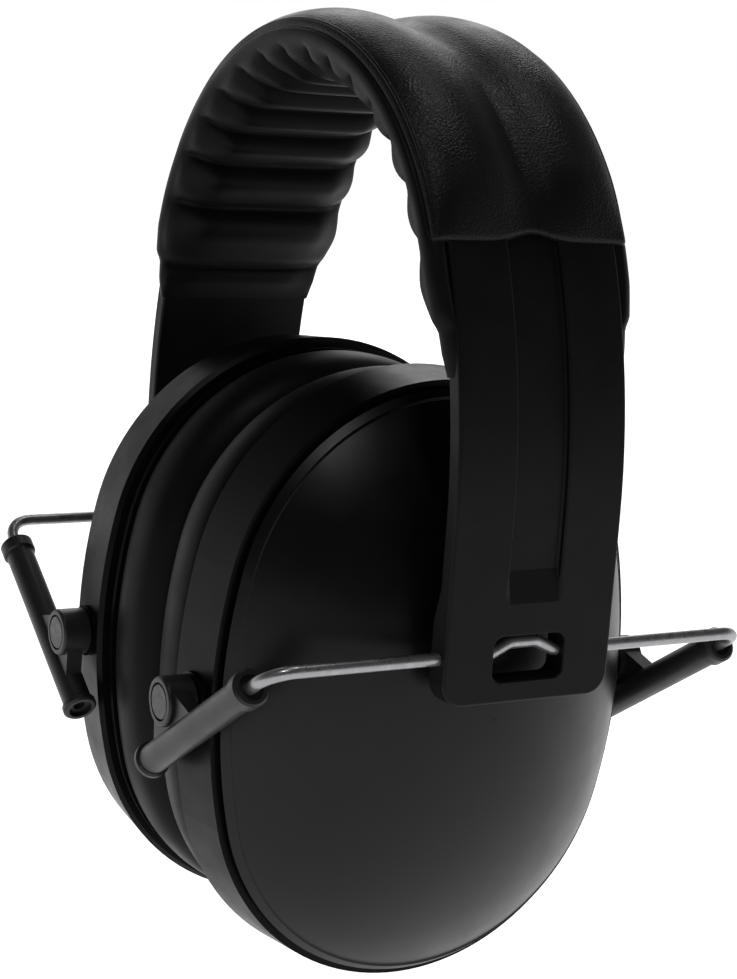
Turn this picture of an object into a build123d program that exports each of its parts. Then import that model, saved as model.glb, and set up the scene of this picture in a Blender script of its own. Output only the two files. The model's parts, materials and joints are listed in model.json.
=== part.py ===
"""Passive earmuff hearing protector: a padded headband and two low-profile folding cups.

Millimetres. X runs from the left cup to the right cup, the front of the headband faces -Y, and +Z is up.
The origin is the middle of the head: on the line through the centres of both cups, halfway between them.
Every side piece is drawn once, for the right side, and mirrored across X = 0 for the left.
"""
from math import asin, atan2, cos, degrees, radians, sin, sqrt
import os

from build123d import *

# ---- headband: one moulded arch whose two arms hang down outside the cups ----
arm_face_x = 54.4          # outer face of each arm
arm_bottom_z = 5.2
arm_straight_z = 33.0      # the arms are straight below this height
crown_centre_z = 54.0
crown_radius = 50.6        # outer radius of the arch over the crown
arm_width = 30.0
arm_thickness = 3.0
arm_edge = 0.5
arm_corner = 3.6

channel_width = 9.2        # groove along the outside of the arch
channel_depth = 1.0
channel_end_z = 20.6
channel_ramp_height = 5.0
channel_edge = 0.4

heel_thickness = 4.4       # the arm's lower end is thicker, to hold the wire
heel_top_z = 18.0
heel_ramp_z = 23.0
slot_width = 12.8
slot_height = 7.0
slot_centre_z = 12.1
slot_corner = 1.6
slot_edge = 0.3

# ---- leatherette cover and quilted pad over the crown ----
cover_proud = 1.6          # height of the cover above the arch
cover_skin = 0.8
cover_half_width = 17.2
cover_side_depth = 3.0     # how far the cover's sides reach down past the arch's outer face
cover_end_z = 74.0
padding_gap = 5.0          # half width of the valley between the two padding strips
pad_depth = 8.2            # lowest point of the pad, measured from the arch's outer face
pad_half_width = 17.0
pad_skin = 0.9
pad_end_z = 57.0

# ---- wire yoke ----
hinge_x = 52.2
hinge_z = 12.4
wire_radius = 1.0
running_gap = 0.05         # radial clearance of every pivot and slide
wire_leg_y = 43.3
wire_leg_length = 43.0
wire_bend = 4.5
wire_dip = 33.5            # degrees below the horizontal, stowed
detent_height = 1.7        # the arched middle of the wire, inside the slot
detent_half_width = 6.0
detent_flat = 2.4
detent_bend = 3.0

# ---- sleeves that run on the wire's legs ----
sleeve_start = 6.0         # distances along the leg from the hinge
sleeve_length = 39.3
sleeve_radius = 2.5
collar_radius = 2.95
upper_collar_length = 2.8
lower_collar_length = 1.5
mouth_radius = 2.0         # shallow recess round the wire at each end of the sleeve
mouth_depth = 0.9
boss_along = 33.0
boss_above = 6.3
boss_radius = 4.0
boss_edge = 0.5
boss_inner_y = 40.75
boss_outer_y = 45.6
web_inner_y = 41.9
web_outer_y = 44.7
sleeve_edge = 0.35

# ---- cup pivot rivets ----
rivet_radius = 1.5
rivet_head_radius = 2.85
rivet_head_thickness = 0.85
head_recess_radius = 3.05
rivet_inner_y = 35.9
pivot_seat_radius = 4.4
pivot_seat_y = 40.4

# ---- cup: an oval of four tangent arcs, stacked along X ----
rim_half_width = 39.2
rim_half_height = 50.3
oval_end_radius = 37.75
cushion_face_x = 0.85
lip_x = 13.2
lip_thickness = 1.1
rim_inner_x = 15.1
rim_outer_x = 26.5
rim_taper = 1.1            # the rim is this much larger all round at its inner edge
rim_bevel = 0.8
rim_wall = 4.0
rim_ledge = 7.0
rim_ledge_x = 24.0
seal_inset = 2.2
seal_width = 3.4
shell_x = 27.7
shell_inset = 1.2
shell_depth = 19.0
shell_wall = 2.2
shell_flange = 1.5
spigot_wall = 1.9
spigot_x = 24.2
liner_gap = 0.4
liner_inset = 5.9
liner_front_x = 19.0
liner_bowl_x = 36.0
liner_bowl_inset = 17.0
plate_thickness = 2.0
ear_inset = 15.0
locating_wall = 1.2
locating_x = 17.6
groove_inset = 2.6
cushion_outer_inset = 1.2
cushion_inner_inset = 15.6
cushion_round = 4.6
cushion_skin_thickness = 0.9
fit_gap = 0.05

# ---- worked-out geometry ----
rise = crown_centre_z - arm_straight_z
shoulder_radius = (arm_face_x**2 + rise**2 - crown_radius**2) / (2 * (arm_face_x - crown_radius))
shoulder_x = arm_face_x - shoulder_radius
shoulder_angle = degrees(asin(rise / (shoulder_radius - crown_radius)))

end_centre = rim_half_height - oval_end_radius
side_radius = ((rim_half_width**2 + end_centre**2 - oval_end_radius**2)
               / (2 * (rim_half_width - oval_end_radius)))
side_centre = side_radius - rim_half_width
oval_join = degrees(atan2(end_centre, side_centre))

leg = Vector(-cos(radians(wire_dip)), 0, -sin(radians(wire_dip)))
across = Vector(-sin(radians(wire_dip)), 0, cos(radians(wire_dip)))
hinge = Vector(hinge_x, 0, hinge_z)
pivot = hinge + leg * boss_along + across * boss_above


def leg_plane(y):
    """Plane of one sleeve: x runs down the wire's leg, z points to the front."""
    return Plane(origin=(hinge_x, y, hinge_z), x_dir=leg, z_dir=(0, -1, 0))


def arch_sketch(outer_depth, inner_depth):
    """Arch between two depths below the headband's outer face, full length, in the XZ plane."""
    with BuildSketch(Plane.XZ) as arch:
        for depth, mode in ((outer_depth, Mode.ADD), (inner_depth, Mode.SUBTRACT)):
            foot = arm_face_x - depth
            with BuildLine():
                Line((foot, arm_bottom_z), (foot, arm_straight_z))
                CenterArc((shoulder_x, arm_straight_z), shoulder_radius - depth, 0, shoulder_angle)
                CenterArc((0, crown_centre_z), crown_radius - depth, shoulder_angle, 180 - 2 * shoulder_angle)
                CenterArc((-shoulder_x, arm_straight_z), shoulder_radius - depth, 180 - shoulder_angle,
                          shoulder_angle)
                Line((-foot, arm_straight_z), (-foot, arm_bottom_z))
                Line((-foot, arm_bottom_z), (foot, arm_bottom_z))
            make_face(mode=mode)
    return arch.sketch


def oval(x, grow, scale=1.0):
    """Cup outline at one X, offset by grow from the rim's outer edge, then scaled about its centre."""
    side, end = (side_radius + grow) * scale, (oval_end_radius + grow) * scale
    side_c, end_c = side_centre * scale, end_centre * scale
    with BuildSketch(Plane.YZ.offset(x)) as outline:
        with BuildLine():
            CenterArc((-side_c, 0), side, -oval_join, 2 * oval_join)
            CenterArc((0, end_c), end, oval_join, 180 - 2 * oval_join)
            CenterArc((side_c, 0), side, 180 - oval_join, 2 * oval_join)
            CenterArc((0, -end_c), end, 180 + oval_join, 180 - 2 * oval_join)
        make_face()
    return outline.sketch


def dome_sections(x, grow, depth):
    """Sections of a crowned dome: every cross-section through the X axis is one shallow arc."""
    half_width = rim_half_width + grow
    radius = (half_width**2 + depth**2) / (2 * depth)
    steps = (1.0, 0.93, 0.82, 0.67, 0.48, 0.26)
    heights = [sqrt(radius**2 - (half_width * s)**2) - (radius - depth) for s in steps]
    return [oval(x + h, grow, s).face() for h, s in zip(heights, steps)] + [Vertex(x + depth, 0, 0)]


def above(height):
    """Keep what lies above a height, in the part that is being built."""
    split(bisect_by=Plane.XY.offset(height), keep=Keep.TOP)


def channel_sketch():
    """Profile of the groove in the arch's outer face, with a sloping run-out at each end."""
    ramp_top = channel_end_z + channel_ramp_height
    with BuildSketch(Plane.XZ) as channel:
        add(arch_sketch(-1, channel_depth))
        with Locations((0, (arm_bottom_z + ramp_top) / 2)):
            Rectangle(4 * arm_face_x, ramp_top - arm_bottom_z, mode=Mode.SUBTRACT)
        for side in (1, -1):
            with BuildLine():
                Polyline((side * (arm_face_x + 1), channel_end_z), (side * arm_face_x, channel_end_z),
                         (side * (arm_face_x - channel_depth), ramp_top),
                         (side * (arm_face_x + 1), ramp_top), close=True)
            make_face()
    return channel.sketch


# ---- headband pieces ----
def band_frame():
    heel_x = arm_face_x - heel_thickness
    inner_x = arm_face_x - arm_thickness
    with BuildPart() as frame:
        extrude(arch_sketch(0, arm_thickness), amount=arm_width / 2, both=True)
        # thicker heel at the bottom of each arm
        with BuildSketch(Plane.XZ):
            for side in (1, -1):
                with BuildLine():
                    Polyline((side * (inner_x + 1), arm_bottom_z), (side * heel_x, arm_bottom_z),
                             (side * heel_x, heel_top_z), (side * inner_x, heel_ramp_z),
                             (side * (inner_x + 1), heel_ramp_z), close=True)
                make_face()
        extrude(amount=arm_width / 2, both=True)
        fillet(frame.edges().filter_by(Axis.X).group_by(Axis.Z)[0], arm_corner)
        fillet(frame.edges().filter_by(lambda e: abs(abs(e.center().Y) - arm_width / 2) < 0.001), arm_edge)
        # groove along the outside
        extrude(channel_sketch(), amount=channel_width / 2, both=True, mode=Mode.SUBTRACT)
        fillet(frame.edges().filter_by(lambda e: abs(abs(e.center().Y) - channel_width / 2) < 0.001),
               channel_edge)
        # slot across each heel
        with BuildSketch(Plane.YZ):
            with Locations((0, slot_centre_z)):
                RectangleRounded(slot_width, slot_height, slot_corner)
        extrude(amount=arm_face_x + 1, both=True, mode=Mode.SUBTRACT)
        outer_rim = frame.edges().filter_by(lambda e: abs(abs(e.center().X) - arm_face_x) < 0.001)
        fillet(outer_rim.filter_by(lambda e: abs(e.center().Y) < slot_width / 2 + 0.001
                                   and abs(e.center().Z - slot_centre_z) < slot_height / 2 + 0.001), slot_edge)
        # bore for the wire through each heel
        with BuildSketch(Plane.XZ):
            with Locations((hinge_x, hinge_z), (-hinge_x, hinge_z)):
                Circle(wire_radius + running_gap)
        extrude(amount=arm_width / 2 + 1, both=True, mode=Mode.SUBTRACT)
    return frame.part


def band_cover():
    with BuildPart() as cover:
        extrude(arch_sketch(-cover_proud, cover_side_depth), amount=cover_half_width, both=True)
        extrude(arch_sketch(cover_skin - cover_proud, cover_side_depth),
                amount=cover_half_width - cover_skin, both=True, mode=Mode.SUBTRACT)
        above(cover_end_z)
    return cover.part


def cover_padding():
    """Front strip; the rear strip is its mirror image."""
    with BuildPart() as padding:
        strip = arch_sketch(cover_skin - cover_proud + fit_gap, -fit_gap)
        extrude(strip, amount=cover_half_width - cover_skin - fit_gap)
        extrude(strip, amount=padding_gap, mode=Mode.SUBTRACT)
        above(cover_end_z)
    return padding.part


def head_pad_skin():
    pad_top = arm_thickness + fit_gap
    with BuildPart() as core:
        extrude(arch_sketch(pad_top, pad_depth - pad_skin), amount=pad_half_width - pad_skin, both=True)
        above(pad_end_z + pad_skin)
    with BuildPart() as skin:
        extrude(arch_sketch(pad_top, pad_depth), amount=pad_half_width, both=True)
        above(pad_end_z)
        add(core, mode=Mode.SUBTRACT)
    return skin.part


def head_pad_foam():
    clear = pad_skin + fit_gap
    with BuildPart() as foam:
        extrude(arch_sketch(arm_thickness + 2 * fit_gap, pad_depth - clear),
                amount=pad_half_width - clear, both=True)
        above(pad_end_z + clear)
    return foam.part


# ---- yoke pieces ----
def yoke_wire():
    down_leg = hinge + leg * wire_leg_length
    rise_y = detent_half_width
    with BuildPart() as wire:
        with BuildLine() as path:
            FilletPolyline(down_leg - (0, wire_leg_y, 0), hinge - (0, wire_leg_y, 0),
                           hinge - (0, rise_y, 0), hinge + (0, -detent_flat, detent_height),
                           hinge + (0, detent_flat, detent_height), hinge + (0, rise_y, 0),
                           hinge + (0, wire_leg_y, 0), down_leg + (0, wire_leg_y, 0),
                           radius=[wire_bend, *[detent_bend] * 4, wire_bend])
        with BuildSketch(Plane(origin=path.line @ 0, z_dir=path.line % 0)):
            Circle(wire_radius)
        sweep()
    return wire.part


def front_sleeve():
    tube_start = hinge + leg * sleeve_start - (0, wire_leg_y, 0)
    tube_end = tube_start + leg * sleeve_length
    with BuildPart() as sleeve:
        for start, length, radius in ((tube_start, sleeve_length, sleeve_radius),
                                      (tube_start, upper_collar_length, collar_radius),
                                      (tube_end - leg * lower_collar_length, lower_collar_length,
                                       collar_radius)):
            with BuildSketch(Plane(origin=start, z_dir=leg)):
                Circle(radius)
            extrude(amount=length)
        collar_rims = sleeve.edges().filter_by(GeomType.CIRCLE).filter_by(lambda e: e.radius > sleeve_radius)
        chamfer(collar_rims, sleeve_edge)
        with BuildSketch(leg_plane(-web_inner_y)):
            with BuildLine():
                Polyline((boss_along - boss_radius, -boss_above), (boss_along + boss_radius, -boss_above),
                         (boss_along + 1.9 * boss_radius, 0), (boss_along - 2.4 * boss_radius, 0), close=True)
            make_face()
        extrude(amount=web_outer_y - web_inner_y)
        with BuildSketch(leg_plane(-boss_inner_y)):
            with Locations((boss_along, -boss_above)):
                Circle(boss_radius)
        extrude(amount=boss_outer_y - boss_inner_y)
        fillet(sleeve.faces().sort_by(Axis.Y)[0].edges(), boss_edge)
        with BuildSketch(leg_plane(-boss_outer_y)):
            with Locations((boss_along, -boss_above)):
                Circle(head_recess_radius)
        extrude(amount=-rivet_head_thickness - fit_gap, mode=Mode.SUBTRACT)
        with BuildSketch(leg_plane(-boss_inner_y)):
            with Locations((boss_along, -boss_above)):
                Circle(rivet_radius + running_gap)
        extrude(amount=boss_outer_y - boss_inner_y, mode=Mode.SUBTRACT)
        for start, length, radius in ((tube_start, sleeve_length, wire_radius + running_gap),
                                      (tube_start, mouth_depth, mouth_radius),
                                      (tube_end - leg * mouth_depth, mouth_depth, mouth_radius)):
            with BuildSketch(Plane(origin=start, z_dir=leg)):
                Circle(radius)
            extrude(amount=length, mode=Mode.SUBTRACT)
    return sleeve.part


def front_rivet():
    head_y = boss_outer_y - rivet_head_thickness
    with BuildPart() as rivet:
        with BuildSketch(Plane.XZ.offset(rivet_inner_y)):
            with Locations((pivot.X, pivot.Z)):
                Circle(rivet_radius)
        extrude(amount=boss_outer_y - rivet_inner_y)
        with BuildSketch(Plane.XZ.offset(head_y)):
            with Locations((pivot.X, pivot.Z)):
                Circle(rivet_head_radius)
        extrude(amount=rivet_head_thickness)
        chamfer(rivet.faces().sort_by(Axis.Y)[0].edges(), rivet_head_thickness / 4)
    return rivet.part


# ---- cup pieces ----
def cup_rim():
    with BuildPart() as rim:
        loft([oval(rim_inner_x, rim_taper).face(), oval(rim_outer_x, 0).face()])
        chamfer(rim.faces().sort_by(Axis.X)[0].edges(), rim_bevel)
        with BuildSketch(Plane.XZ):
            with Locations((pivot.X, pivot.Z)):
                Circle(pivot_seat_radius)
        extrude(amount=pivot_seat_y, both=True)
        extrude(oval(rim_inner_x, -rim_wall), amount=rim_ledge_x - rim_inner_x, mode=Mode.SUBTRACT)
        extrude(oval(rim_inner_x, -rim_ledge), amount=rim_outer_x - rim_inner_x, mode=Mode.SUBTRACT)
        with BuildSketch(Plane.XZ):
            with Locations((pivot.X, pivot.Z)):
                Circle(rivet_radius + fit_gap / 2)
        extrude(amount=pivot_seat_y, both=True, mode=Mode.SUBTRACT)
    return rim.part


def seal_ring():
    with BuildPart() as seal:
        extrude(oval(rim_outer_x, -seal_inset), amount=shell_x - rim_outer_x)
        extrude(oval(rim_outer_x, -seal_inset - seal_width), amount=shell_x - rim_outer_x,
                mode=Mode.SUBTRACT)
    return seal.part


def cup_shell():
    spigot_inset = rim_ledge + fit_gap
    flange_outer_inset = shell_inset + shell_wall / 2
    with BuildPart() as shell:
        loft(dome_sections(shell_x, -shell_inset, shell_depth))
        loft(dome_sections(shell_x, -shell_inset - shell_wall, shell_depth - shell_wall), mode=Mode.SUBTRACT)
        extrude(oval(shell_x, -flange_outer_inset), amount=shell_flange)
        extrude(oval(spigot_x, -spigot_inset), amount=shell_x + shell_flange - spigot_x)
        extrude(oval(spigot_x, -spigot_inset - spigot_wall), amount=shell_x + shell_flange - spigot_x,
                mode=Mode.SUBTRACT)
    return shell.part


def liner_foam():
    waist_x = shell_x + shell_flange + fit_gap
    crown_x = shell_x + shell_depth - shell_wall - liner_gap
    with BuildPart() as liner:
        extrude(oval(liner_front_x, -rim_ledge - spigot_wall - liner_gap), amount=waist_x - liner_front_x)
        loft(dome_sections(waist_x, -liner_inset, crown_x - waist_x))
        extrude(oval(liner_front_x, -liner_bowl_inset), amount=liner_bowl_x - liner_front_x,
                mode=Mode.SUBTRACT)
    return liner.part


def back_plate():
    with BuildPart() as plate:
        extrude(oval(rim_inner_x, -rim_wall - fit_gap), amount=plate_thickness)
        extrude(oval(rim_inner_x, -ear_inset), amount=plate_thickness, mode=Mode.SUBTRACT)
    return plate.part


def cushion_plate():
    hole_inset = ear_inset + fit_gap + locating_wall
    with BuildPart() as plate:
        extrude(oval(lip_x, -cushion_outer_inset / 2), amount=lip_thickness)
        extrude(oval(lip_x, -groove_inset), amount=rim_inner_x - lip_x)
        extrude(oval(lip_x, -ear_inset - fit_gap), amount=locating_x - lip_x)
        extrude(oval(lip_x, -hole_inset), amount=locating_x - lip_x, mode=Mode.SUBTRACT)
    return plate.part


def ring(inset, clear):
    """Cushion ring, smaller than the cushion's outside by clear on every side."""
    back_x = lip_x - fit_gap
    front_x = cushion_face_x + inset
    with BuildPart() as body:
        extrude(oval(front_x, -cushion_outer_inset - inset), amount=back_x - clear - front_x)
        extrude(oval(front_x, -cushion_inner_inset + inset), amount=back_x - clear - front_x,
                mode=Mode.SUBTRACT)
        fillet(body.faces().sort_by(Axis.X)[0].edges(), cushion_round - inset)
    return body.part


def cushion_skin():
    with BuildPart() as skin:
        add(ring(0, 0))
        add(ring(cushion_skin_thickness, 0), mode=Mode.SUBTRACT)
    return skin.part


def cushion_foam():
    with BuildPart() as foam:
        add(ring(cushion_skin_thickness + fit_gap, fit_gap))
    return foam.part


# ---- name and write every piece ----
def save(part, name):
    part.label = name
    export_step(part, f"parts/{name}.step")


os.makedirs("parts", exist_ok=True)

for piece in (band_frame, band_cover, head_pad_skin, head_pad_foam):
    save(piece(), piece.__name__)

front_padding = cover_padding()
save(front_padding, "cover_padding_front")
save(mirror(front_padding, about=Plane.XZ, mode=Mode.PRIVATE), "cover_padding_rear")

right_pieces = {piece.__name__: piece() for piece in (
    yoke_wire, front_sleeve, front_rivet, cup_rim, seal_ring, cup_shell, liner_foam, back_plate,
    cushion_plate, cushion_skin, cushion_foam)}
for name in ("sleeve", "rivet"):
    right_pieces["rear_" + name] = mirror(right_pieces["front_" + name], about=Plane.XZ, mode=Mode.PRIVATE)

for name, piece in right_pieces.items():
    save(piece, "right_" + name)
    save(mirror(piece, about=Plane.YZ, mode=Mode.PRIVATE), "left_" + name)
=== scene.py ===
"""Looks of the earmuff hearing protector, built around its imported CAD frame.

Metres, in the frame's axes. The hard CAD nodes stay and get materials. The soft ones are replaced by pieces
shaped by formula and then filled out by a short cloth simulation.
"""

import json
from math import asin, cos, pi, sin

import bpy
import numpy as np
from mathutils import Matrix, Vector


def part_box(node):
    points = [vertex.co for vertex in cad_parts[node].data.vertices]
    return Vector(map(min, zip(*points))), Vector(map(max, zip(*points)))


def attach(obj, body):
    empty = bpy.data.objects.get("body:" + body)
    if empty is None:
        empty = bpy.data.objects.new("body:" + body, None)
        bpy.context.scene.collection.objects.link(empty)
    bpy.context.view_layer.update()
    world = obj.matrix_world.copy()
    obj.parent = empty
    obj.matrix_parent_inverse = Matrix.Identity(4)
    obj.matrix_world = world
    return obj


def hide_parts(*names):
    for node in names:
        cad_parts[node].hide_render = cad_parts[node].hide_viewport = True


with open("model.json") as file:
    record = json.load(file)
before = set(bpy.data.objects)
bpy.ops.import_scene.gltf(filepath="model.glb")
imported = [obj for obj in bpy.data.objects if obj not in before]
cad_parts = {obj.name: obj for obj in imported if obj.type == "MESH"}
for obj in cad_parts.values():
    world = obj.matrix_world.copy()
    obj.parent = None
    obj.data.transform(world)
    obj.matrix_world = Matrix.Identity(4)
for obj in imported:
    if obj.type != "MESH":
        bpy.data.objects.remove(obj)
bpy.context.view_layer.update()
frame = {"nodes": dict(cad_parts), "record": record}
nodes = frame["nodes"]
MM = 0.001
SIDES = (("right", 1), ("left", -1))

# ---- arch of the headband, as in the CAD ----
band_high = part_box("band_frame")[1]
FACE_X = band_high.x
CROWN_Z = 54.0 * MM
CROWN_R = band_high.z - CROWN_Z
STRAIGHT_Z = 33.0 * MM
RISE = CROWN_Z - STRAIGHT_Z
SHOULDER_R = (FACE_X**2 + RISE**2 - CROWN_R**2) / (2 * (FACE_X - CROWN_R))
SHOULDER_ANGLE = asin(RISE / (SHOULDER_R - CROWN_R))
CROWN_LENGTH = CROWN_R * (pi / 2 - SHOULDER_ANGLE)

COVER_LENGTH = 59.0 * MM   # from the crown to the cover's hem, along the arch
HEM_LENGTH = 11.0 * MM     # the stretch over which the cover comes down to the arm
BAND_DEPTH = 3.1 * MM      # where the pad meets the band, just clear of the band's inner face

# ---- outline of the cup, as in the CAD: an oval of four arcs ----
OVAL_END_R = 37.75 * MM
OVAL_HALF_W = 39.2 * MM
OVAL_HALF_H = 50.3 * MM
OVAL_END_C = OVAL_HALF_H - OVAL_END_R
OVAL_SIDE_R = ((OVAL_HALF_W**2 + OVAL_END_C**2 - OVAL_END_R**2)
               / (2 * (OVAL_HALF_W - OVAL_END_R)))
OVAL_SIDE_C = OVAL_SIDE_R - OVAL_HALF_W


def arch(s, depth):
    """Points of the arch at distance s from the crown (towards +X) and depth below its outer face."""
    s, depth = np.broadcast_arrays(np.asarray(s, float), np.asarray(depth, float))
    a = np.abs(s)
    crown = pi / 2 - a / CROWN_R
    shoulder = np.maximum(SHOULDER_ANGLE - (a - CROWN_LENGTH) / SHOULDER_R, 0)
    below = np.maximum(a - CROWN_LENGTH - SHOULDER_R * SHOULDER_ANGLE, 0)
    on_crown = a <= CROWN_LENGTH
    x = np.where(on_crown, (CROWN_R - depth) * np.cos(crown),
                 FACE_X - SHOULDER_R + (SHOULDER_R - depth) * np.cos(shoulder))
    z = np.where(on_crown, CROWN_Z + (CROWN_R - depth) * np.sin(crown),
                 STRAIGHT_Z + (SHOULDER_R - depth) * np.sin(shoulder) - below)
    return np.sign(s + 1e-12) * x, z


def oval(t, grow):
    """Point of the cup outline at a fraction t of the way round, grown outwards, as (y, z)."""
    join = np.arctan2(OVAL_END_C, OVAL_SIDE_C)
    lengths = np.array([2 * join * OVAL_SIDE_R, (pi - 2 * join) * OVAL_END_R] * 2)
    starts = np.concatenate([[0], np.cumsum(lengths)])
    d = (np.asarray(t, float) % 1) * starts[-1]
    i = np.clip(np.searchsorted(starts, d, side="right") - 1, 0, 3)
    first = np.array([-join, join, pi - join, pi + join])[i]
    radius = np.array([OVAL_SIDE_R, OVAL_END_R] * 2)[i]
    angle = first + (d - starts[i]) / radius
    cy = np.array([-OVAL_SIDE_C, 0, OVAL_SIDE_C, 0])[i]
    cz = np.array([0, OVAL_END_C, 0, -OVAL_END_C])[i]
    return cy + (radius + grow) * np.cos(angle), cz + (radius + grow) * np.sin(angle)


# ---- meshes ----
def add_mesh(name, verts, faces):
    mesh = bpy.data.meshes.new(name)
    mesh.from_pydata([tuple(v) for v in verts], [], faces)
    mesh.validate()
    mesh.update()
    mesh.polygons.foreach_set("use_smooth", [True] * len(mesh.polygons))
    piece = bpy.data.objects.new(name, mesh)
    bpy.context.scene.collection.objects.link(piece)
    return piece


def grid_faces(rows, cols, wrap_rows=False, wrap_cols=False, flip=False):
    faces = []
    for i in range(rows if wrap_rows else rows - 1):
        for j in range(cols if wrap_cols else cols - 1):
            a, b = i * cols + j, i * cols + (j + 1) % cols
            c, d = ((i + 1) % rows) * cols + (j + 1) % cols, ((i + 1) % rows) * cols + j
            faces.append((d, c, b, a) if flip else (a, b, c, d))
    return faces


def smooth_path(points, count):
    """Evenly spaced samples of the smooth curve through a few (a, b) points."""
    p = np.array(points, float)
    p = np.vstack([2 * p[0] - p[1], p, 2 * p[-1] - p[-2]])
    out = []
    for i in range(1, len(p) - 2):
        for u in np.linspace(0, 1, 24, endpoint=False):
            out.append(0.5 * ((2 * p[i]) + (p[i + 1] - p[i - 1]) * u
                              + (2 * p[i - 1] - 5 * p[i] + 4 * p[i + 1] - p[i + 2]) * u**2
                              + (3 * p[i] - p[i - 1] - 3 * p[i + 1] + p[i + 2]) * u**3))
    out.append(p[-2])
    out = np.array(out)
    run = np.concatenate([[0], np.cumsum(np.linalg.norm(np.diff(out, axis=0), axis=1))])
    at = np.linspace(0, run[-1], count)
    return np.stack([np.interp(at, run, out[:, k]) for k in (0, 1)], axis=1)


def apply_modifiers(piece):
    bpy.context.view_layer.update()
    depsgraph = bpy.context.evaluated_depsgraph_get()
    mesh = bpy.data.meshes.new_from_object(piece.evaluated_get(depsgraph))
    piece.modifiers.clear()
    old = piece.data
    piece.data = mesh
    bpy.data.meshes.remove(old)
    mesh.polygons.foreach_set("use_smooth", [True] * len(mesh.polygons))


SIM_FRAMES = 12
SIM_STIFFNESS = 12.0
SIM_MOST_MOVED = 0.5 * MM   # more than this, and the skin wrinkles in blotches
HELD = 1.0                  # pin weights: sewn fast, and only tacked down
TACKED = 0.25


def inflate(piece, pins, pressure):
    """Fill a fabric mesh out against its pinned seams by cloth simulation, and keep the result."""
    mesh = piece.data
    rest = np.array([v.co[:] for v in mesh.vertices])
    group = piece.vertex_groups.new(name="pins")
    for weight in (HELD, TACKED):
        members = [int(i) for i in np.nonzero(np.isclose(pins, weight))[0]]
        if members:
            group.add(members, weight, "REPLACE")
    cloth = piece.modifiers.new("Cloth", "CLOTH")
    settings = cloth.settings
    settings.quality = 6
    settings.mass = 0.25
    settings.tension_stiffness = SIM_STIFFNESS
    settings.compression_stiffness = SIM_STIFFNESS
    settings.shear_stiffness = SIM_STIFFNESS / 2
    settings.bending_stiffness = 0.4
    settings.vertex_group_mass = "pins"
    settings.use_pressure = True
    settings.uniform_pressure_force = pressure
    settings.effector_weights.gravity = 0
    cloth.collision_settings.use_collision = False
    cloth.point_cache.frame_start = 1
    cloth.point_cache.frame_end = SIM_FRAMES
    scene = bpy.context.scene
    for f in range(1, SIM_FRAMES + 1):
        scene.frame_set(f)
    apply_modifiers(piece)
    scene.frame_set(1)
    moved = np.array([v.co[:] for v in piece.data.vertices])
    step = moved - rest
    size = np.linalg.norm(step, axis=1)
    step *= np.minimum(1, SIM_MOST_MOVED / np.maximum(size, 1e-9))[:, None]
    piece.data.vertices.foreach_set("co", (rest + step).ravel())
    piece.data.update()
    piece.vertex_groups.clear()


# ---- camera ----
def place_camera():
    """Camera at the photograph's angle, found by fitting it to the rims, rivets, slot and band."""
    azimuth, elevation, roll = 0.5174, 0.2046, 0.0648
    target = Vector((-13.25 * MM, 0, 19.33 * MM))
    distance = 374.4 * MM
    back = Vector((cos(elevation) * cos(azimuth), -cos(elevation) * sin(azimuth), sin(elevation)))
    level = Vector((sin(azimuth), cos(azimuth), 0))
    upright = back.cross(level)
    right = cos(roll) * level + sin(roll) * upright
    up = cos(roll) * upright - sin(roll) * level
    camera = bpy.data.objects.new("camera", bpy.data.cameras.new("camera"))
    camera.matrix_world = Matrix((right, up, back)).transposed().to_4x4()
    camera.matrix_world.translation = target + back * distance
    camera.data.lens = 77.38
    camera.data.sensor_width = 36.0
    camera.data.shift_x = 0.0533
    camera.data.shift_y = 0.0288
    camera.data.clip_start = 0.01
    bpy.context.scene.collection.objects.link(camera)
    bpy.context.scene.camera = camera
    bpy.context.scene.view_settings.view_transform = "Standard"


place_camera()


# ---- materials ----
def new_material(name):
    material = bpy.data.materials.new(name)
    material.use_nodes = True
    tree = material.node_tree
    return material, tree, tree.nodes["Principled BSDF"]


def link(tree, source, target):
    tree.links.new(source, target)


def noise(tree, coords, scale, detail=3.0, roughness=0.5, distortion=0.0):
    node = tree.nodes.new("ShaderNodeTexNoise")
    node.inputs["Scale"].default_value = scale
    node.inputs["Detail"].default_value = detail
    node.inputs["Roughness"].default_value = roughness
    node.inputs["Distortion"].default_value = distortion
    link(tree, coords, node.inputs["Vector"])
    return node.outputs["Fac"]


def remap(tree, value, low, high, to_low=0.0, to_high=1.0):
    node = tree.nodes.new("ShaderNodeMapRange")
    node.inputs["From Min"].default_value = low
    node.inputs["From Max"].default_value = high
    node.inputs["To Min"].default_value = to_low
    node.inputs["To Max"].default_value = to_high
    link(tree, value, node.inputs["Value"])
    return node.outputs["Result"]


def tint(tree, value, dark, light, target):
    node = tree.nodes.new("ShaderNodeMix")
    node.data_type = "RGBA"
    node.inputs["A"].default_value = (*dark, 1)
    node.inputs["B"].default_value = (*light, 1)
    link(tree, value, node.inputs["Factor"])
    link(tree, node.outputs["Result"], target)


def bump(tree, height, strength, distance, normal=None):
    node = tree.nodes.new("ShaderNodeBump")
    node.inputs["Strength"].default_value = strength
    node.inputs["Distance"].default_value = distance
    link(tree, height, node.inputs["Height"])
    if normal is not None:
        link(tree, normal, node.inputs["Normal"])
    return node.outputs["Normal"]


def object_coords(tree):
    return tree.nodes.new("ShaderNodeTexCoord").outputs["Object"]


def grey(value):
    return (value, value, value * 1.03)


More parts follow.
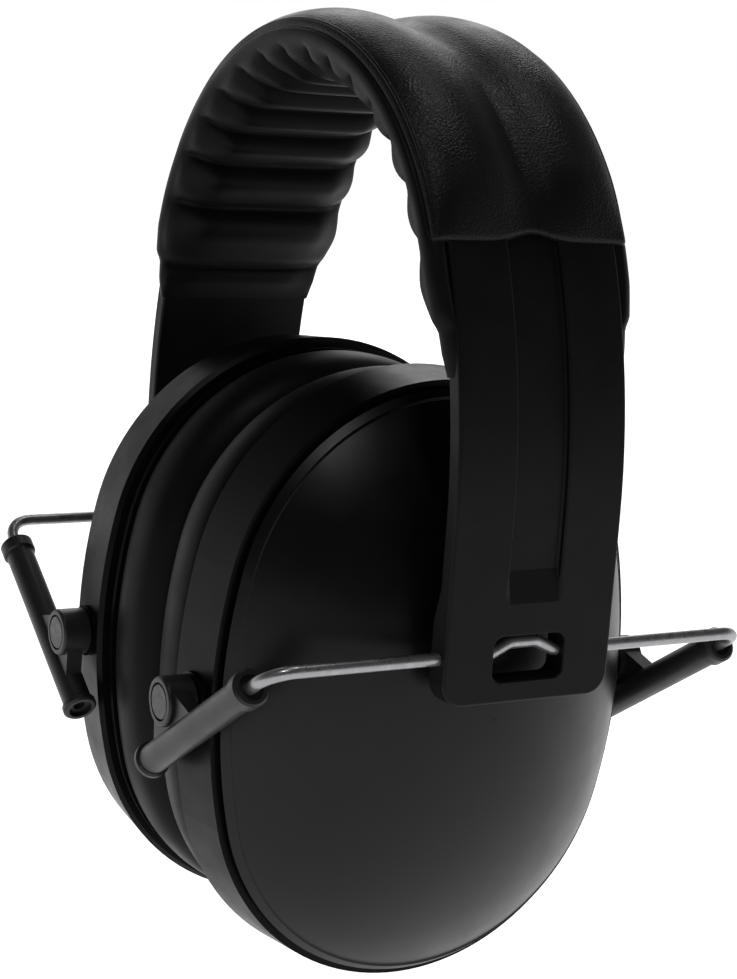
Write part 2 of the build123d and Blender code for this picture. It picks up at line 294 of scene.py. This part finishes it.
def moulded(name, tone, rough, ior, grain=2600.0, depth=0.04 * MM, spread=0.06):
    """Moulded black plastic: faint mottling, a fine spark-eroded grain and slightly uneven gloss."""
    material, tree, shader = new_material(name)
    coords = object_coords(tree)
    mottle = noise(tree, coords, 45.0, 4.0)
    tint(tree, mottle, grey(tone * 0.75), grey(tone * 1.3), shader.inputs["Base Color"])
    link(tree, remap(tree, noise(tree, coords, 160.0, 5.0), 0.3, 0.7, rough - spread, rough + spread),
         shader.inputs["Roughness"])
    fine = noise(tree, coords, grain, 2.0)
    slow = noise(tree, coords, 30.0, 2.0)
    normal = bump(tree, slow, 0.25, 0.2 * MM)
    link(tree, bump(tree, fine, 0.5, depth, normal), shader.inputs["Normal"])
    shader.inputs["IOR"].default_value = ior
    return material


def leatherette(name, tone, rough, ior, cells, depth):
    """Coated fabric with a pebbled leather grain, fine creases and slightly uneven gloss."""
    material, tree, shader = new_material(name)
    coords = object_coords(tree)
    warp = tree.nodes.new("ShaderNodeVectorMath")
    warp.operation = "MULTIPLY_ADD"
    uneven = tree.nodes.new("ShaderNodeTexNoise")
    uneven.inputs["Scale"].default_value = 220.0
    link(tree, coords, uneven.inputs["Vector"])
    link(tree, uneven.outputs["Color"], warp.inputs[0])
    warp.inputs[1].default_value = (1.6 * MM, 1.6 * MM, 1.6 * MM)
    link(tree, coords, warp.inputs[2])
    pebble = tree.nodes.new("ShaderNodeTexVoronoi")
    pebble.feature = "DISTANCE_TO_EDGE"
    pebble.inputs["Scale"].default_value = cells
    link(tree, warp.outputs["Vector"], pebble.inputs["Vector"])
    height = remap(tree, pebble.outputs["Distance"], 0.0, 0.35)
    mottle = noise(tree, coords, 60.0, 4.0)
    tint(tree, mottle, grey(tone * 0.7), grey(tone * 1.35), shader.inputs["Base Color"])
    link(tree, remap(tree, noise(tree, coords, 120.0, 4.0), 0.3, 0.7, rough - 0.07, rough + 0.07),
         shader.inputs["Roughness"])
    creases = noise(tree, coords, 340.0, 6.0, 0.65, 1.2)
    normal = bump(tree, creases, 0.12, 0.1 * MM)
    link(tree, bump(tree, height, 0.4, depth, normal), shader.inputs["Normal"])
    shader.inputs["IOR"].default_value = ior
    shader.inputs["Sheen Weight"].default_value = 0.015
    shader.inputs["Sheen Roughness"].default_value = 0.5
    return material


def coated_steel(name, tone, rough, metallic):
    """Steel with a dark coating that is paler where it has been rubbed."""
    material, tree, shader = new_material(name)
    coords = object_coords(tree)
    rubbed = remap(tree, noise(tree, coords, 420.0, 6.0, 0.7), 0.52, 0.72)
    tint(tree, rubbed, grey(tone), grey(tone * 1.35), shader.inputs["Base Color"])
    link(tree, remap(tree, noise(tree, coords, 900.0, 3.0), 0.3, 0.7, rough - 0.08, rough + 0.08),
         shader.inputs["Roughness"])
    link(tree, bump(tree, noise(tree, coords, 1800.0, 2.0), 0.3, 0.03 * MM), shader.inputs["Normal"])
    shader.inputs["Metallic"].default_value = metallic
    return material


def foam(name, tone):
    """Open-cell foam: small round pore dents, painted darker in their middles as painted shade, over a
    softly uneven body.
    """
    material, tree, shader = new_material(name)
    coords = object_coords(tree)
    pores = tree.nodes.new("ShaderNodeTexVoronoi")
    pores.inputs["Scale"].default_value = 900.0
    link(tree, coords, pores.inputs["Vector"])
    # the pores are dents, and their middles are also painted darker as painted shade
    pore_dents_and_shade = remap(tree, pores.outputs["Distance"], 0.1, 0.6)
    tint(tree, pore_dents_and_shade, grey(tone * 0.4), grey(tone * 1.4), shader.inputs["Base Color"])
    normal = bump(tree, noise(tree, coords, 70.0, 3.0), 0.4, 0.6 * MM)
    link(tree, bump(tree, pore_dents_and_shade, 0.9, 0.5 * MM, normal), shader.inputs["Normal"])
    shader.inputs["Roughness"].default_value = 0.95
    shader.inputs["IOR"].default_value = 1.2
    return material


def studio_floor(name):
    """White seamless paper, which glows a little so that it stays white out to the horizon."""
    material, tree, shader = new_material(name)
    coords = object_coords(tree)
    tint(tree, noise(tree, coords, 6.0, 3.0), (0.78, 0.78, 0.78), (0.82, 0.82, 0.82),
         shader.inputs["Base Color"])
    shader.inputs["Roughness"].default_value = 0.9
    shader.inputs["Emission Color"].default_value = (1, 1, 1, 1)
    shader.inputs["Emission Strength"].default_value = 0.97
    return material


MATERIALS = {
    "moulded_band": moulded("band_plastic", 0.0035, 0.4, 1.2),
    "moulded_rim": moulded("rim_plastic", 0.0022, 0.36, 1.165),
    "moulded_sleeve": moulded("sleeve_plastic", 0.012, 0.4, 1.35),
    "soft_touch_shell": moulded("soft_touch", 0.0008, 0.36, 1.31, grain=5200.0, depth=0.02 * MM,
                                spread=0.03),
    "leatherette": leatherette("leatherette", 0.0032, 0.42, 1.24, cells=1500.0, depth=0.09 * MM),
    "open_foam": foam("charcoal_foam", 0.03),
    "black_steel": coated_steel("coated_wire", 0.3, 0.33, 0.85),
    "rivet_steel": coated_steel("rivet_steel", 0.028, 0.42, 0.5),
    "rubber_seal": moulded("seal_rubber", 0.002, 0.6, 1.25),
}
for row in frame["record"]["subparts"]:
    cad = nodes[row["node"]].data
    cad.materials.clear()
    cad.materials.append(MATERIALS[row["material_slot"]])


# the pad and the cushions are of the same stuff as the cover, with a finer and shallower grain, a lower
# gloss and a slightly darker tone, which is painted shade
SMOOTH_SHADED_SKIN = leatherette("smooth_shaded_leatherette", 0.0026, 0.46, 1.18, cells=2300.0, depth=0.03 * MM)


def finish_piece(piece, slot, body, *replaced, material=None):
    """Give a piece its material (the slot's, unless one is given) and its body, and hide the plain solids
    it stands for.
    """
    piece.data.materials.clear()
    piece.data.materials.append(material or MATERIALS[slot])
    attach(piece, body)
    if replaced:
        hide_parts(*replaced)
    return piece


# ---- quilted head pad ----
PAD_LENGTH = 79.0 * MM
FLAP_LENGTH = 7.0 * MM
# in proportion, from half the middle pleat out to the flap
PLEAT_WIDTHS = (4.2, 8.3, 8.3, 8.5, 8.8, 9.3, 10.3, 13.6, 7.0)
PLEATS = 2 * len(PLEAT_WIDTHS) - 1   # both flaps counted
PLEAT_HEIGHT = 3.1 * MM
SCALLOP = 2.1 * MM      # how far the pleats swell the pad's edges
TUCK_DEPTH = 1.1 * MM   # the pad's border stays this far below the cover


def smooth_step(u):
    """0 up to u = 0, 1 from u = 1, and an S between them."""
    u = np.clip(u, 0, 1)
    return u * u * (3 - 2 * u)


def wobble(seed, count, size):
    """Small seeded variation, one value per pleat or seam."""
    return np.random.default_rng(seed).uniform(-size, size, count)


def head_pad():
    """Rolled pleats across the inside of the crown, with smooth rounded borders and a flap at each end."""
    per_pleat, rows = 18, 73
    cols = PLEATS * per_pleat + 1
    half = np.cumsum(PLEAT_WIDTHS) * PAD_LENGTH / sum(PLEAT_WIDTHS)
    seams = np.concatenate([-half[::-1], half])
    seams[1:-1] += wobble(3, PLEATS - 1, 0.4 * MM)
    s = np.interp(np.linspace(0, PLEATS, cols), np.arange(PLEATS + 1), seams)
    f = (np.arange(cols) % per_pleat) / per_pleat
    puff = (1 - np.abs(2 * f - 1)**2.2)**0.7
    lean = 0.16 * np.sin(2 * pi * f) * np.sign(s)
    half_section = [(0, 7.9), (4.8, 7.9), (9.4, 7.8), (12.2, 7.4), (14.8, 6.4), (17.0, 4.9), (18.1, 3.1),
                    (18.0, 1.5), (17.2, 0.5), (16.0, 0.2), (15.3, 0.6)]
    mirrored = [(-y, d) for y, d in half_section[:0:-1]]
    section = smooth_path(mirrored + half_section, rows) * MM
    y0, d0 = section[:, 0], section[:, 1]
    quilted = smooth_step((16.0 * MM - np.abs(y0)) / (4.6 * MM))
    border = smooth_step((d0 - 3.5 * MM) / (2.0 * MM)) * (1 - quilted)
    hem = np.clip((COVER_LENGTH - np.abs(s)) / (1.5 * MM), 0, 1)
    to_end = PAD_LENGTH - np.abs(s)
    stations = np.array([0, 0.5, 1, 1.25, 2, 3]) * FLAP_LENGTH
    thickness = np.interp(to_end, stations, [0.04, 0.25, 0.35, 0.66, 0.88, 1])
    narrowing = np.interp(to_end, stations, [2.9 * MM, 2.1 * MM, 1.7 * MM, 0.7 * MM, 0.1 * MM, 0])
    verts, pins = [], []
    for i in range(cols):
        for j in range(rows):
            roll = PLEAT_HEIGHT * (puff[i] - 0.55 + lean[i]) * quilted[j]
            ripple = SCALLOP * (puff[i] - 0.6) * border[j]
            depth = d0[j] + roll + 0.6 * ripple
            depth += max(TUCK_DEPTH - depth, 0) * hem[i]
            if depth > BAND_DEPTH:
                depth = BAND_DEPTH + (depth - BAND_DEPTH) * thickness[i]
            outward = np.clip(abs(y0[j]) / (14.0 * MM), 0, 1)
            y = y0[j] + np.sign(y0[j]) * (ripple - narrowing[i] * outward)
            x, z = arch(s[i], depth)
            verts.append((float(x), float(y), float(z)))
            on_seam = i % per_pleat == 0 and border[j] + quilted[j] > 0.3
            at_edge = d0[j] < 1.6 * MM or not 1 < i < cols - 2
            pins.append(HELD if on_seam or at_edge else 0.0)
    piece = add_mesh("quilted_head_pad", verts, grid_faces(cols, rows))
    inflate(piece, np.array(pins), pressure=0.8)
    return piece


pad = finish_piece(head_pad(), "leatherette", "headband", "head_pad_skin", "head_pad_foam",
                   material=SMOOTH_SHADED_SKIN)


# ---- leatherette cover over the crown ----
NOTCH_DEPTH = 1.5 * MM        # of each hem, at the valley
NOTCH_HALF_WIDTH = 4.2 * MM
COVER_SKIN = 0.22 * MM
COVER_SEAM_Y = 16.55 * MM
COVER_WELT_R = 0.42 * MM


def band_cover():
    """Cover with two soft rolls and a valley between them, drawn down to a seam along each edge."""
    cols, rows = 261, 81
    half_section = [(0, -0.5), (2.3, -0.95), (5.4, -1.9), (9.4, -2.3), (13.6, -1.7), (16.2, -0.6),
                    (17.1, 0.5), (17.1, 1.2), (16.5, 1.7)]
    mirrored = [(-y, d) for y, d in half_section[:0:-1]]
    section = smooth_path(mirrored + half_section, rows) * MM
    s = np.linspace(-COVER_LENGTH, COVER_LENGTH, cols)
    verts, pins = [], []
    for i in range(cols):
        near_end = np.clip(1 - (COVER_LENGTH - abs(s[i])) / HEM_LENGTH, 0, 1)
        fall = near_end**1.6
        turned_under = 0.45 * MM * smooth_step((near_end - 0.955) / 0.045)
        for j in range(rows):
            y, d = section[j]
            drawn_down = d + (-0.06 * MM - d) * fall if d < 0 else d
            depth = drawn_down + turned_under
            notch = NOTCH_DEPTH * np.exp(-(y / NOTCH_HALF_WIDTH)**2) * near_end**2
            x, z = arch(s[i] - np.sign(s[i]) * notch, depth)
            verts.append((float(x), float(y), float(z)))
            sewn = j < 2 or j > rows - 3 or i < 4 or i > cols - 5
            in_valley = abs(j - rows // 2) < 2
            pins.append(HELD if sewn else TACKED if in_valley else 0.0)
    piece = add_mesh("crown_cover", verts, grid_faces(cols, rows, flip=True))
    inflate(piece, np.array(pins), pressure=1.2)
    solid = piece.modifiers.new("thickness", "SOLIDIFY")
    solid.thickness = COVER_SKIN
    solid.offset = 1
    apply_modifiers(piece)
    return piece


cover = finish_piece(band_cover(), "leatherette", "headband", "band_cover", "cover_padding_front",
                     "cover_padding_rear")


NEVER_ALONG = (0.13, 0.97, 0.21)   # a direction that no tube here runs in, to turn its rings from


def tube(name, points, radius, sides=8, closed=False):
    """Round tube along a smooth line of points."""
    p = np.asarray(points, float)
    ahead = np.roll(p, -1, 0) - np.roll(p, 1, 0)
    if not closed:
        ahead[0], ahead[-1] = p[1] - p[0], p[-1] - p[-2]
    ahead /= np.linalg.norm(ahead, axis=1)[:, None]
    out = np.cross(ahead, NEVER_ALONG)
    out /= np.linalg.norm(out, axis=1)[:, None]
    beside = np.cross(ahead, out)
    turn = np.linspace(0, 2 * pi, sides, endpoint=False)
    ring = out[:, None] * np.cos(turn)[None, :, None] + beside[:, None] * np.sin(turn)[None, :, None]
    verts = (p[:, None] + radius * ring).reshape(-1, 3)
    faces = grid_faces(len(p), sides, wrap_rows=closed, wrap_cols=True)
    if not closed:
        faces.append(tuple(range(sides))[::-1])
        faces.append(tuple(range(len(verts) - sides, len(verts))))
    return add_mesh(name, verts, faces)


for edge, y_side in (("front", -1), ("rear", 1)):
    run = np.linspace(-COVER_LENGTH + 0.6 * MM, COVER_LENGTH - 0.6 * MM, 240)
    settle = 1 - np.clip(1 - (COVER_LENGTH - np.abs(run)) / HEM_LENGTH, 0, 1)**1.6
    x_run, z_run = arch(run, (0.25 - 0.5 * settle) * MM)
    y_run = np.full_like(run, y_side * COVER_SEAM_Y)
    welt = tube("cover_welt_" + edge, np.stack([x_run, y_run, z_run], 1), COVER_WELT_R)
    finish_piece(welt, "leatherette", "headband")


# ---- ear cushions ----
CUSHION_SEAM_X = 12.6 * MM
CUSHION_SEAM_GROW = -2.1 * MM   # the seam runs this far inside the cup's outline
CUSHION_WELT_R = 0.45 * MM


def ear_cushion(side, sign):
    """Crowned ring of leatherette, sewn to its plate along both edges."""
    around, rows = 220, 56
    outline = [(-2.2, 13.1), (-0.9, 12.0), (-0.5, 8.6), (-1.4, 4.6), (-4.2, 1.8), (-8.4, 0.77),
               (-12.6, 1.8), (-15.6, 4.6), (-16.5, 8.6), (-15.9, 12.0), (-14.8, 13.1)]
    section = smooth_path(outline, rows) * MM
    verts, pins = [], []
    for i in range(around):
        for j in range(rows):
            grow, x = section[j]
            y, z = oval(i / around, grow)
            verts.append((sign * x, float(y), float(z)))
            pins.append(HELD if j < 2 or j > rows - 3 else 0.0)
    faces = grid_faces(around, rows, wrap_rows=True, flip=sign > 0)
    piece = add_mesh(side + "_ear_cushion", verts, faces)
    inflate(piece, np.array(pins), pressure=1.0)
    return piece


def oval_line(x, grow, count=240):
    y, z = oval(np.arange(count) / count, grow)
    return np.stack([np.full(count, x), y, z], 1)


for side, sign in SIDES:
    seam = oval_line(sign * CUSHION_SEAM_X, CUSHION_SEAM_GROW)
    welt = tube(side + "_cushion_welt", seam, CUSHION_WELT_R, closed=True)
    finish_piece(welt, "leatherette", side + "_cup", material=SMOOTH_SHADED_SKIN)
    cushion = finish_piece(ear_cushion(side, sign), "leatherette", side + "_cup",
                           side + "_cushion_skin", side + "_cushion_foam", material=SMOOTH_SHADED_SKIN)


# ---- studio ----
FLOOR_DROP = 37.0 * MM   # below the cups at rest, about where they come when they are swung down
FLOOR_HALF = 30.0
AIM = Vector((0, 0, 0.03))
# name, place, diameter and power
LIGHTS = (("key", (0.64, -0.5, 1.52), 0.24, 4.4),
          ("rear", (-1.3, 0.7, 1.0), 1.1, 7.0),
          ("top", (0.0, 0.35, 1.2), 0.3, 1.8))


def lay_floor():
    rim_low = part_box("right_cup_rim")[0]
    z = rim_low.z - FLOOR_DROP
    corners = [(-FLOOR_HALF, -FLOOR_HALF, z), (FLOOR_HALF, -FLOOR_HALF, z),
               (FLOOR_HALF, FLOOR_HALF, z), (-FLOOR_HALF, FLOOR_HALF, z)]
    floor = add_mesh("floor", corners, [(0, 1, 2, 3)])
    floor.data.materials.append(studio_floor("paper"))


def surround():
    """White to the camera. What lights the object is bright low down behind it, and dim elsewhere."""
    world = bpy.data.worlds.new("studio")
    bpy.context.scene.world = world
    world.use_nodes = True
    tree = world.node_tree
    background = tree.nodes["Background"]
    coords = tree.nodes.new("ShaderNodeTexCoord").outputs["Generated"]
    split = tree.nodes.new("ShaderNodeSeparateXYZ")
    link(tree, coords, split.inputs["Vector"])
    behind = tree.nodes.new("ShaderNodeVectorMath")
    behind.operation = "DOT_PRODUCT"
    behind.inputs[1].default_value = (-0.86, 0.5, 0.0)
    link(tree, coords, behind.inputs[0])
    low = remap(tree, split.outputs["Z"], 0.55, 0.1)
    back = remap(tree, behind.outputs["Value"], -0.35, 0.45, 0.06, 1.0)
    both = tree.nodes.new("ShaderNodeMath")
    both.operation = "MULTIPLY"
    link(tree, low, both.inputs[0])
    link(tree, back, both.inputs[1])
    tint(tree, both.outputs["Value"], (0.03, 0.03, 0.03), (1.0, 1.0, 1.0), background.inputs["Color"])

    paper = tree.nodes.new("ShaderNodeBackground")
    paper.inputs["Color"].default_value = (1, 1, 1, 1)
    seen = tree.nodes.new("ShaderNodeLightPath")
    choose = tree.nodes.new("ShaderNodeMixShader")
    link(tree, seen.outputs["Is Camera Ray"], choose.inputs["Fac"])
    link(tree, background.outputs["Background"], choose.inputs[1])
    link(tree, paper.outputs["Background"], choose.inputs[2])
    link(tree, choose.outputs["Shader"], tree.nodes["World Output"].inputs["Surface"])


def hang_lights():
    for name, place, size, power in LIGHTS:
        lamp = bpy.data.lights.new(name, "AREA")
        lamp.shape = "DISK"
        lamp.size = size
        lamp.energy = power
        light = bpy.data.objects.new(name, lamp)
        light.location = place
        light.rotation_euler = (AIM - Vector(place)).to_track_quat("-Z", "Y").to_euler()
        bpy.context.scene.collection.objects.link(light)


lay_floor()
surround()
hang_lights()
